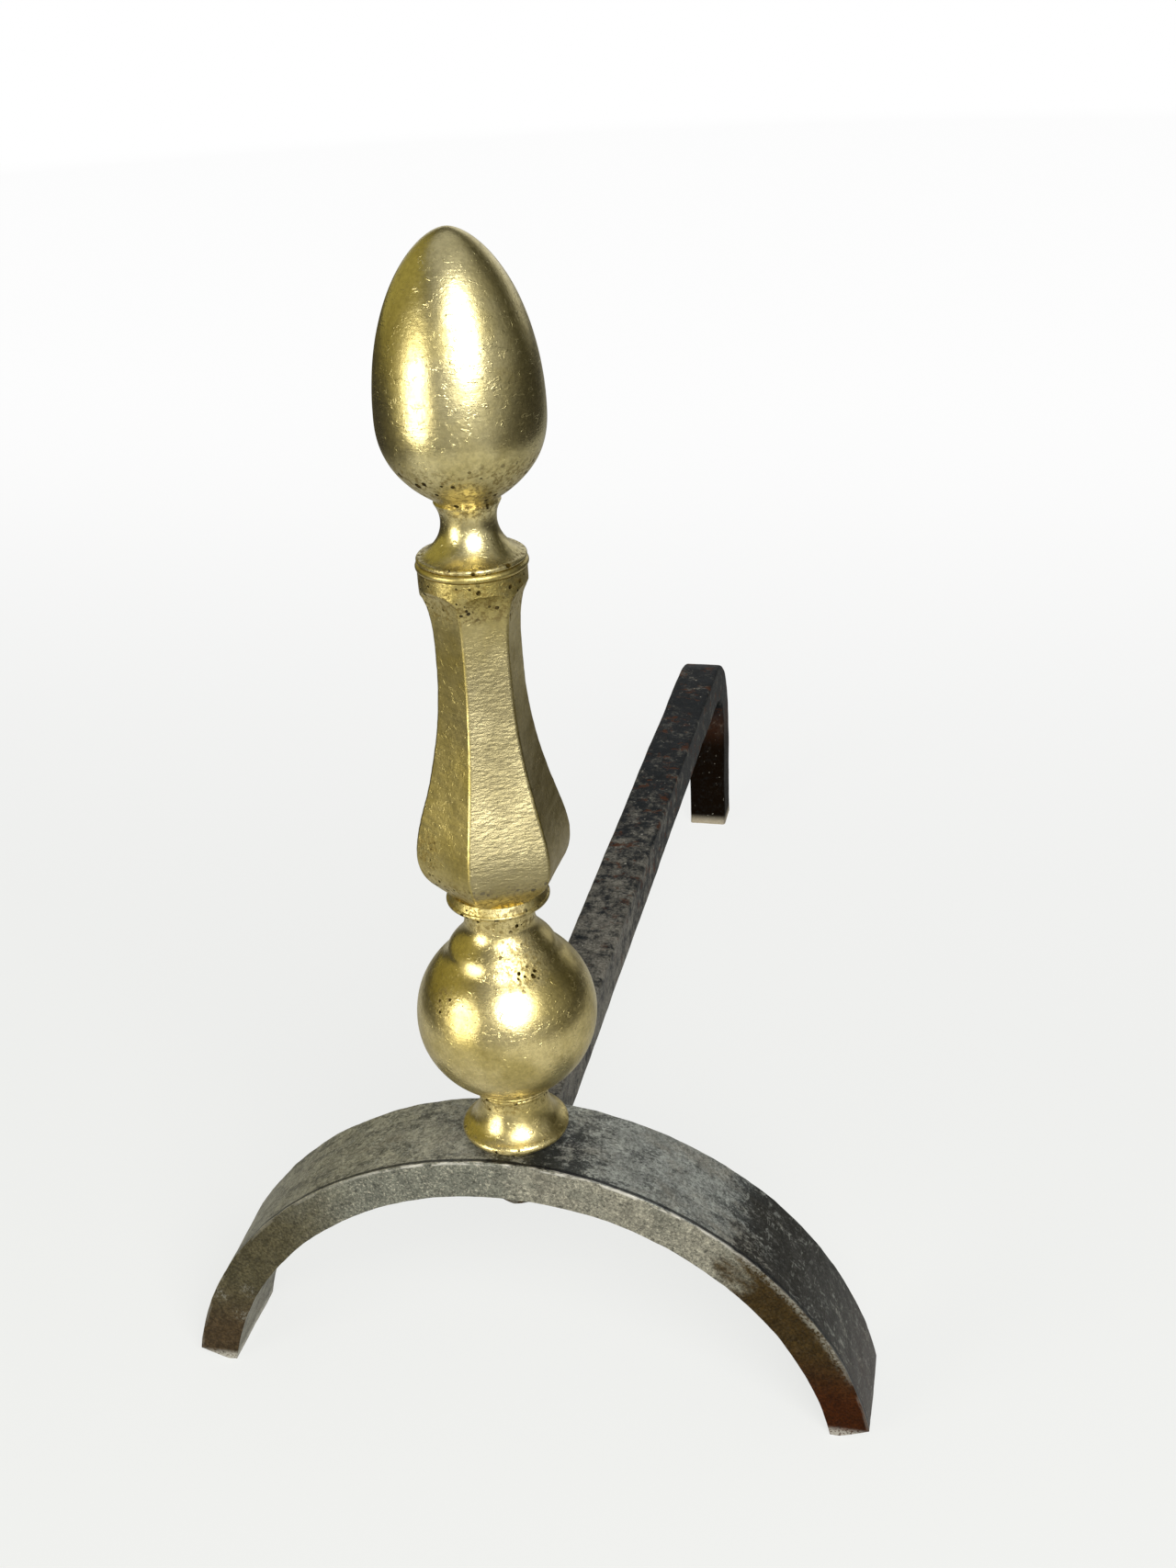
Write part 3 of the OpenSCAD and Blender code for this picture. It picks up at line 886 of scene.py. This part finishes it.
def ironBase(tree, place, tone, dark):
    # dark sets how much blue-black scale there is, as a pattern or a number
    coarse = noise(tree, place, 10, 6, 0.68, shift=(2, 0, 5))
    fine = noise(tree, place, 1.4, 5, 0.72, shift=(0, 6, 1))
    patchy = noise(tree, place, 3.6, 5, 0.7, shift=(6, 1, 4))
    field = total(tree, [(coarse, 0.45), (patchy, 0.35), (fine, 0.2)])
    scaled = ramp(tree, maths(tree, "SUBTRACT", field, dark), -0.07, 0.07)
    colour = mixed(tree, scaled, tone["scale"], tone["grey"])
    specks = ramp(tree, noise(tree, place, 0.8, 3, 0.7, shift=(3, 3, 8)), 0.6, 0.72)
    colour = mixed(tree, times(tree, specks, scaled, 0.45), colour, tone["sand"])
    return colour, scaled, fine


def ironSurface(tree, shader, place, values, colour, rough, relief, rust):
    # rust takes the place of the white sheen, so it stays brown where light catches it
    metal = values["metal"]
    tree.links.new(gained(tree, rust, 0.95 - metal, metal), shader.inputs["Metallic"])
    relief = relief + [(noise(tree, place, 0.9, 4, 0.65), 0.12), (noise(tree, place, 3.5, 3, 0.6), 0.14)]
    surfaced(tree, shader, colour, values["gloss"], rough, relief)


archIronValues = {
    "topWarm": "#A09E8E",
    "topBlue": "#989B94",
    "topDust": "#7E786A",
    "scale": "#14181A",
    "fleck": "#8A8F89",
    # the pale streaks of painted sheen on the top
    "paintedSheen": "#A3A69E",
    "face": "#6D6E62",
    "facePale": "#827F70",
    "faceSand": "#B0AB98",
    "faceHollow": "#2A2A26",
    "leftBrown": "#524B33",
    "rightBrown": "#3D2C09",
    "red": "#401D04",
    "frost": "#8C897C",
    # the painted shade line behind the top front edge
    "paintedEdgeShade": "#141518",
    # rubbed bright soles, and the top front edge rubbed bright with a painted highlight
    "worn": "#CBC8BD",
    # thick scale: a span of the right shoulder, and a place from the post's foot with its reach
    "scaleSpan": (80, 122, 15),
    "scalePatch": ((11, -10, 101), 27),
    "nicks": ((-97, -17, 33), (-101, -17, 22), (-108, -17, 30)),
    "nickReach": 4.5,
    "gloss": 0.36,
    "metal": 0.55,
}


def makeArchIron(name, values=archIronValues):
    material, tree, shader, place = newMaterial(name)
    tone = tones(values)
    across, inward, height = axes(tree, place)
    outer = archSizes["radius"] * mm
    rise = maths(tree, "SUBTRACT", height, (zCrown - archSizes["radius"]) * mm)
    out = addNode(tree, "ShaderNodeCombineXYZ", {"X": across, "Y": rise})
    out = addNode(tree, "ShaderNodeVectorMath", {0: out.outputs[0]}, operation="LENGTH").outputs["Value"]
    # the pattern follows the iron round the arch, so its streaks lie along the forging
    along = times(tree, maths(tree, "ARCTAN2", across, rise), outer)
    laid = addNode(tree, "ShaderNodeCombineXYZ", {"X": along, "Y": inward, "Z": out}).outputs[0]
    fromFront = maths(tree, "SUBTRACT", inward, postY - archSizes["depth"] / 2 * mm)
    normal = addNode(tree, "ShaderNodeNewGeometry").outputs["True Normal"]
    face = ramp(tree, maths(tree, "ABSOLUTE", axes(tree, normal)["Y"]), 0.45, 0.8)
    coarse = noise(tree, laid, 11, 6, 0.66, stretch=(2, 1, 1), shift=(2, 0, 5))
    fine = noise(tree, laid, 0.9, 5, 0.76, stretch=(1.5, 1, 1), shift=(0, 6, 1))
    sand = noise(tree, place, 0.9, 4, 0.7, shift=(1, 8, 2))
    # top: warm mottled grey to the left, bluish to the right, black scale on the right shoulder
    blue = ramp(tree, gained(tree, coarse, 0.09, across), 0.01, 0.09)
    colour = mixed(tree, blue, tone["topWarm"], tone["topBlue"])
    colour = mixed(tree, ramp(tree, coarse, 0.5, 0.66, 0.0, 0.5), colour, tone["topDust"])
    shoulder = times(tree, within(tree, across, *values["scaleSpan"]), 0.09)
    patch = times(tree, near(tree, place, *values["scalePatch"]), 0.08)
    thick = maths(tree, "MAXIMUM", shoulder, patch)
    patchy = noise(tree, laid, 3.4, 5, 0.7, stretch=(2, 1, 1), shift=(6, 1, 4))
    field = total(tree, [(coarse, 0.25), (patchy, 0.4), (fine, 0.35)])
    scaled = ramp(tree, maths(tree, "SUBTRACT", field, maths(tree, "ADD", thick, 0.468)), 0.035, -0.03)
    scaled = times(tree, scaled, gained(tree, thick, 3.0, 0.65))
    colour = mixed(tree, scaled, colour, tone["scale"])
    flecks = noise(tree, laid, 1.1, 4, 0.8, stretch=(1.5, 1, 1), shift=(8, 2, 3))
    colour = mixed(tree, ramp(tree, flecks, 0.56, 0.64, 0.0, 0.5), colour, tone["fleck"])
    # painted sheen: pale bluish streaks along the forging on the top
    sheenStreaks = marks(tree, laid, 3.5, 0.03, (1, 2.5, 1), (0, 0, 0.6), (5, 2, 1))
    colour = mixed(tree, times(tree, sheenStreaks, 0.55), colour, tone["paintedSheen"])
    # front: sandy grey, palest right of the middle
    pale = times(tree, within(tree, across, 14, 66, 22), ramp(tree, coarse, 0.35, 0.55, 0.5, 1.0))
    front = mixed(tree, pale, tone["face"], tone["facePale"])
    front = mixed(tree, ramp(tree, sand, 0.53, 0.62, 0.0, 0.62), front, tone["faceSand"])
    front = mixed(tree, ramp(tree, fine, 0.46, 0.37, 0.0, 0.72), front, tone["faceHollow"])
    colour = mixed(tree, face, colour, front)
    # rust: olive brown fades in down the left leg, and starts sharply on the right one
    drifted = maths(tree, "ADD", across, times(tree, maths(tree, "SUBTRACT", coarse, 0.5), 0.04))
    leftRust = ramp(tree, drifted, -0.045, -0.09, 0.0, 0.9)
    rightRust = ramp(tree, drifted, 0.071, 0.081, 0.0, 0.95)
    onFace = gained(tree, face, 0.8, 0.2)
    brown = maths(tree, "MAXIMUM", leftRust, rightRust)
    brown = times(tree, brown, onFace, ramp(tree, fine, 0.3, 0.5, 0.75, 1.0))
    side = ramp(tree, across, -0.01, 0.01)
    colour = mixed(tree, brown, colour, mixed(tree, side, tone["leftBrown"], tone["rightBrown"]))
    foot = times(tree, ramp(tree, height, 0.04, 0.012), onFace, gained(tree, side, 0.5, 0.45))
    colour = mixed(tree, foot, colour, tone["red"])
    colour = mottled(tree, laid, mottled(tree, laid, colour, 7, 0.2, (3, 1, 4)), 1.0, 0.38)
    rim = times(tree, face, ramp(tree, out, outer - 3.2 * mm, outer - 1 * mm))
    frost = times(tree, rim, rightRust, ramp(tree, sand, 0.42, 0.58), ramp(tree, height, 0.02, 0.04))
    colour = mixed(tree, frost, colour, tone["frost"])
    # hammer nicks on the left leg
    for nick in values["nicks"]:
        chip = times(tree, near(tree, place, nick, values["nickReach"]), ramp(tree, fine, 0.5, 0.62), 0.8)
        colour = mixed(tree, chip, colour, tone["frost"])
    # a painted shade line behind the top front edge, and the edge itself rubbed bright in dashes with a painted
    # highlight along it
    skin = ramp(tree, out, outer - 1.2 * mm, outer - 0.6 * mm)
    # painted shade: a dark line on the top just behind the front edge
    edgeShadeMask = times(tree, skin, within(tree, fromFront, 0.8, 1.7, 0.4), 0.85)
    colour = mixed(tree, edgeShadeMask, colour, tone["paintedEdgeShade"])
    dashes = ramp(tree, noise(tree, laid, 4, 4, 0.7, stretch=(3, 1, 1), shift=(4, 1, 1)), 0.44, 0.56)
    reach = gained(tree, within(tree, across, -32, 62, 26), 0.75, 0.15)
    # the top front edge is partly rubbed bright and partly a painted highlight; the soles below are rubbed bright
    worn = times(tree, skin, ramp(tree, fromFront, 0.8 * mm, 0.4 * mm), dashes, reach)
    sole = times(tree, ramp(tree, height, 4.5 * mm, 1.5 * mm), ramp(tree, sand, 0.35, 0.5), 0.8)
    colour = mixed(tree, maths(tree, "MAXIMUM", worn, sole), colour, tone["worn"])
    rough = [(scaled, -0.04), (brown, 0.12), (face, 0.1), (fine, 0.16)]
    relief = [(scaled, -0.04), (brown, -0.03), (fine, 0.06)]
    ironSurface(tree, shader, place, values, colour, rough, relief, brown)
    return material


barIronValues = {
    **ironValues,
    "spot": "#5A331A",
    "legRust": "#160E07",
    "chip": "#A39F92",
    "sole": "#B9AF9B",
    "metal": 0.05,
    "specular": 0.05,
    # distances behind the post: from, to, and how softly it ends
    "blackSpan": (310, 400, 220),
}


def makeBarIron(name, values=barIronValues):
    material, tree, shader, place = newMaterial(name)
    tone = tones(values)
    _, along, height = axes(tree, place)
    # fire has kept the far end black, and the bar grows paler towards the arch
    low, high, soft = values["blackSpan"]
    black = within(tree, along, postY / mm + low, postY / mm + high, soft)
    colour, scaled, fine = ironBase(tree, place, tone, gained(tree, black, 0.11, 0.465))
    colour = mottled(tree, place, mottled(tree, place, colour, 6, 0.22, (3, 1, 4)), 1.1, 0.4)
    leg = ramp(tree, height, 0.075, 0.045)
    spots = ramp(tree, noise(tree, place, 6, 5, 0.65, shift=(5, 0, 1)), 0.56, 0.66)
    spots = times(tree, spots, ramp(tree, along, -0.1, 0.02, 0.25, 0.9))
    rust = maths(tree, "MAXIMUM", spots, times(tree, leg, ramp(tree, fine, 0.3, 0.55, 0.45, 1.0)))
    colour = mixed(tree, rust, colour, mixed(tree, leg, tone["spot"], tone["legRust"]))
    chips = ramp(tree, noise(tree, place, 2, 3, 0.6, shift=(2, 9, 4)), 0.68, 0.74)
    colour = mixed(tree, chips, colour, tone["chip"])
    colour = mixed(tree, ramp(tree, height, 6 * mm, 1 * mm), colour, tone["sole"])
    rough = [(scaled, -0.06), (rust, 0.2), (fine, 0.14)]
    ironSurface(tree, shader, place, values, colour, rough, [(rust, -0.08)], rust)
    shader.inputs["Specular IOR Level"].default_value = values["specular"]
    return material


# The fasteners are plain mild steel, turned and dulled by heat: even grey with a little rust.
fastenerIronValues = {**ironValues, "brown": "#4A3617", "brownShare": 0.7, "dark": 0.44}


def makeFastenerIron(name, values=fastenerIronValues):
    material, tree, shader, place = newMaterial(name)
    tone = tones(values)
    colour, _, fine = ironBase(tree, place, tone, values["dark"])
    rust = ramp(tree, noise(tree, place, 3, 4, 0.6, shift=(8, 2, 2)), 0.5, 0.64)
    colour = mixed(tree, times(tree, rust, values["brownShare"]), colour, tone["brown"])
    ironSurface(tree, shader, place, values, colour, [(rust, 0.2), (fine, 0.1)], [(rust, -0.05)], rust)
    return material


plainIron = makeFastenerIron("dullFastenerIron")
makers = [
    (makePedestal, "pedestal", "brass", makeBrass("turnedPedestalBrass", footBrassValues)),
    (makeBall, "ball", "brass", makeBrass("turnedBallBrass", ballBrassValues)),
    (makeColumn, "column", "brass", makeBrass("filedColumnBrass", filedBrassValues)),
    (makeFinial, "finial", "brass", makeBrass("turnedAcornBrass", acornBrassValues)),
    (makeArch, "front_arch", "wrought_iron", makeArchIron("forgedArchIron")),
    (makeBar, "billet_bar", "wrought_iron", makeBarIron("forgedBarIron")),
    (makeRod, "tie_rod", "rod_iron", plainIron),
    (makeWasher, "rod_washer", "rod_iron", plainIron),
    (makeNut, "rod_nut", "rod_iron", plainIron),
]
print("materials ready")
for maker, node, slot, material in makers:
    made = maker()
    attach(made, "root")
    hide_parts(node)
    for mesh in (made.data, frame["nodes"][node].data):
        mesh.materials.clear()
        mesh.materials.append(material)
    print("made", made.name, len(made.data.vertices), "points")


# floor, light and camera
floorValues = {
    "side": 60,
    "beyond": "#45423C",
    "paper": "#C9C9C5",
    "seenPaper": "#E9E9E5",
    "glowNear": "#F1F2F0",
    "glowFar": "#FFFFFF",
    "roughness": 0.9,
    "specular": 0.1,
}
bpy.ops.mesh.primitive_plane_add(size=floorValues["side"], location=(0, 0, 0))
floor = added("paleFloor")


def makeFloor(name, values=floorValues):
    material, tree, shader, place = newMaterial(name)
    tone = tones(values)
    across, depth, _ = axes(tree, place)
    seen = addNode(tree, "ShaderNodeLightPath").outputs["Is Camera Ray"]
    # the white paper ends a little outside the view, and the metal mirrors the dull floor beyond it
    aside = maths(tree, "ABSOLUTE", across)
    paper = times(tree, ramp(tree, aside, 0.6, 0.35), ramp(tree, depth, -0.9, -0.65))
    colour = mixed(tree, paper, tone["beyond"], tone["paper"])
    colour = mixed(tree, seen, colour, tone["seenPaper"])
    tree.links.new(colour, shader.inputs["Base Color"])
    shader.inputs["Roughness"].default_value = values["roughness"]
    shader.inputs["Specular IOR Level"].default_value = values["specular"]
    # for the camera alone the paper is lifted towards white further back, and keeps its shadow
    away = addNode(tree, "ShaderNodeVectorMath", {0: place}, operation="LENGTH").outputs["Value"]
    far = ramp(tree, away, 1, 3.5)
    colour = mixed(tree, ramp(tree, depth, -0.35, 0.9), tone["glowNear"], tone["glowFar"])
    colour = mixed(tree, far, colour, tone["glowFar"])
    glow = addNode(tree, "ShaderNodeEmission", {"Color": colour, "Strength": 1})
    share = times(tree, seen, maths(tree, "MAXIMUM", ramp(tree, depth, -0.3, 1.2, 0.82, 0.97), far))
    blend = addNode(tree, "ShaderNodeMixShader", {0: share, 1: shader.outputs[0], 2: glow.outputs[0]})
    # in front of the paper the metal mirrors the room, so there the floor is for the camera alone
    bare = times(tree, maths(tree, "SUBTRACT", 1, seen), ramp(tree, depth, -0.69, -0.7))
    clear = addNode(tree, "ShaderNodeBsdfTransparent")
    blend = addNode(tree, "ShaderNodeMixShader", {0: bare, 1: blend.outputs[0], 2: clear.outputs[0]})
    output = [n for n in tree.nodes if n.type == "OUTPUT_MATERIAL"][0]
    tree.links.new(blend.outputs[0], output.inputs["Surface"])
    return material


floor.data.materials.append(makeFloor("paleFloorPaper"))

# the room's levels of light, and the tint of its two sides
roomValues = {
    "sideGloss": 0.035,
    "leftGloss": 0.3,
    "frontGloss": 0.39,
    "backGloss": 0.85,
    "ceilingGloss": 0.45,
    "roomDiffuse": 0.3,
}
sideTint = (1.12, 1, 0.32)


def makeWorld(values=roomValues):
    world = bpy.data.worlds.new("studioRoom")
    scene.world = world
    world.use_nodes = True
    tree = world.node_tree
    tree.nodes.clear()
    across, ahead, up = axes(tree, addNode(tree, "ShaderNodeTexCoord").outputs["Generated"])
    # the metal mirrors a pale wall behind, a grey room in front, a dim one left and a dark one right
    grey = {key: [level] * 3 + [1] for key, level in values.items()}
    for key in ("sideGloss", "leftGloss"):
        grey[key] = [values[key] * k for k in sideTint] + [1]
    room = mixed(tree, ramp(tree, across, -0.3, -0.8), grey["sideGloss"], grey["leftGloss"])
    room = mixed(tree, ramp(tree, ahead, 0.72, 0.93), room, grey["backGloss"])
    toFront = times(tree, ramp(tree, ahead, 0.5, -0.1), ramp(tree, across, -0.6, 0.1))
    room = mixed(tree, toFront, room, grey["frontGloss"])
    room = mixed(tree, ramp(tree, up, 0.7, 0.95), room, grey["ceilingGloss"])
    path = addNode(tree, "ShaderNodeLightPath")
    seen = mixed(tree, path.outputs["Is Glossy Ray"], grey["roomDiffuse"], room)
    seen = mixed(tree, path.outputs["Is Camera Ray"], seen, [1, 1, 1, 1])
    background = addNode(tree, "ShaderNodeBackground", {"Color": seen, "Strength": 1})
    addNode(tree, "ShaderNodeOutputWorld", {"Surface": background.outputs[0]})


# turn from the front and lift in degrees, sizes in metres, and a level of brightness, 1 for white
windowValues = {
    "tallWindow": {"turn": 29, "lift": 32, "away": 1.35, "wide": 1.05, "tall": 1.1, "level": 8, "colour": "#FFFFFF"},
    "lowWindow": {"turn": -42, "lift": 8, "away": 1.4, "wide": 0.8, "tall": 1.0, "level": 5.5, "colour": "#FFFCF2"},
}
windowTarget = (0, postY, 0.15)


def makeWindow(name, turn, lift, away, wide, tall, level, colour):
    turn, lift = math.radians(turn), math.radians(lift)
    towards = Vector((math.sin(turn) * math.cos(lift), -math.cos(turn) * math.cos(lift), math.sin(lift)))
    lamp = bpy.data.lights.new(name, "AREA")
    lamp.shape = "ELLIPSE"
    lamp.size = wide
    lamp.size_y = tall
    lamp.energy = level * math.pi * (math.pi / 4 * wide * tall)
    lamp.color = toLinear(colour)[:3]
    holder = bpy.data.objects.new(name, lamp)
    scene.collection.objects.link(holder)
    holder.location = Vector(windowTarget) + towards * away
    holder.rotation_euler = (-towards).to_track_quat("-Z", "Y").to_euler()


makeWorld()
for name, values in windowValues.items():
    makeWindow(name, **values)

cameraValues = {
    "place": (0.13964, -0.65922, 0.46877),
    "focal": 1959.3,
    "down": 26.686,
    "yaw": -13.374,
    "roll": 2.948,
    "longSide": 1707,
    "sensor": 36,
    "clipEnd": 50,
}


def makeCamera():
    s = cameraValues
    down, yaw, roll = (math.radians(s[k]) for k in ("down", "yaw", "roll"))
    ahead = Vector((math.sin(yaw) * math.cos(down), math.cos(yaw) * math.cos(down), -math.sin(down)))
    right = Vector((math.cos(yaw), -math.sin(yaw), 0))
    below = -right.cross(ahead)
    rolledRight = math.cos(roll) * right + math.sin(roll) * below
    rolledBelow = -math.sin(roll) * right + math.cos(roll) * below
    lens = bpy.data.cameras.new("photoCamera")
    lens.sensor_fit = "VERTICAL"
    lens.sensor_height = s["sensor"]
    lens.lens = s["sensor"] * s["focal"] / s["longSide"]
    lens.clip_end = s["clipEnd"]
    holder = bpy.data.objects.new("photoCamera", lens)
    scene.collection.objects.link(holder)
    turn = Matrix((rolledRight, -rolledBelow, -ahead)).transposed().to_4x4()
    holder.matrix_world = Matrix.Translation(s["place"]) @ turn
    scene.camera = holder


makeCamera()
scene.view_settings.view_transform = "Standard"
print("floor, light and camera ready")
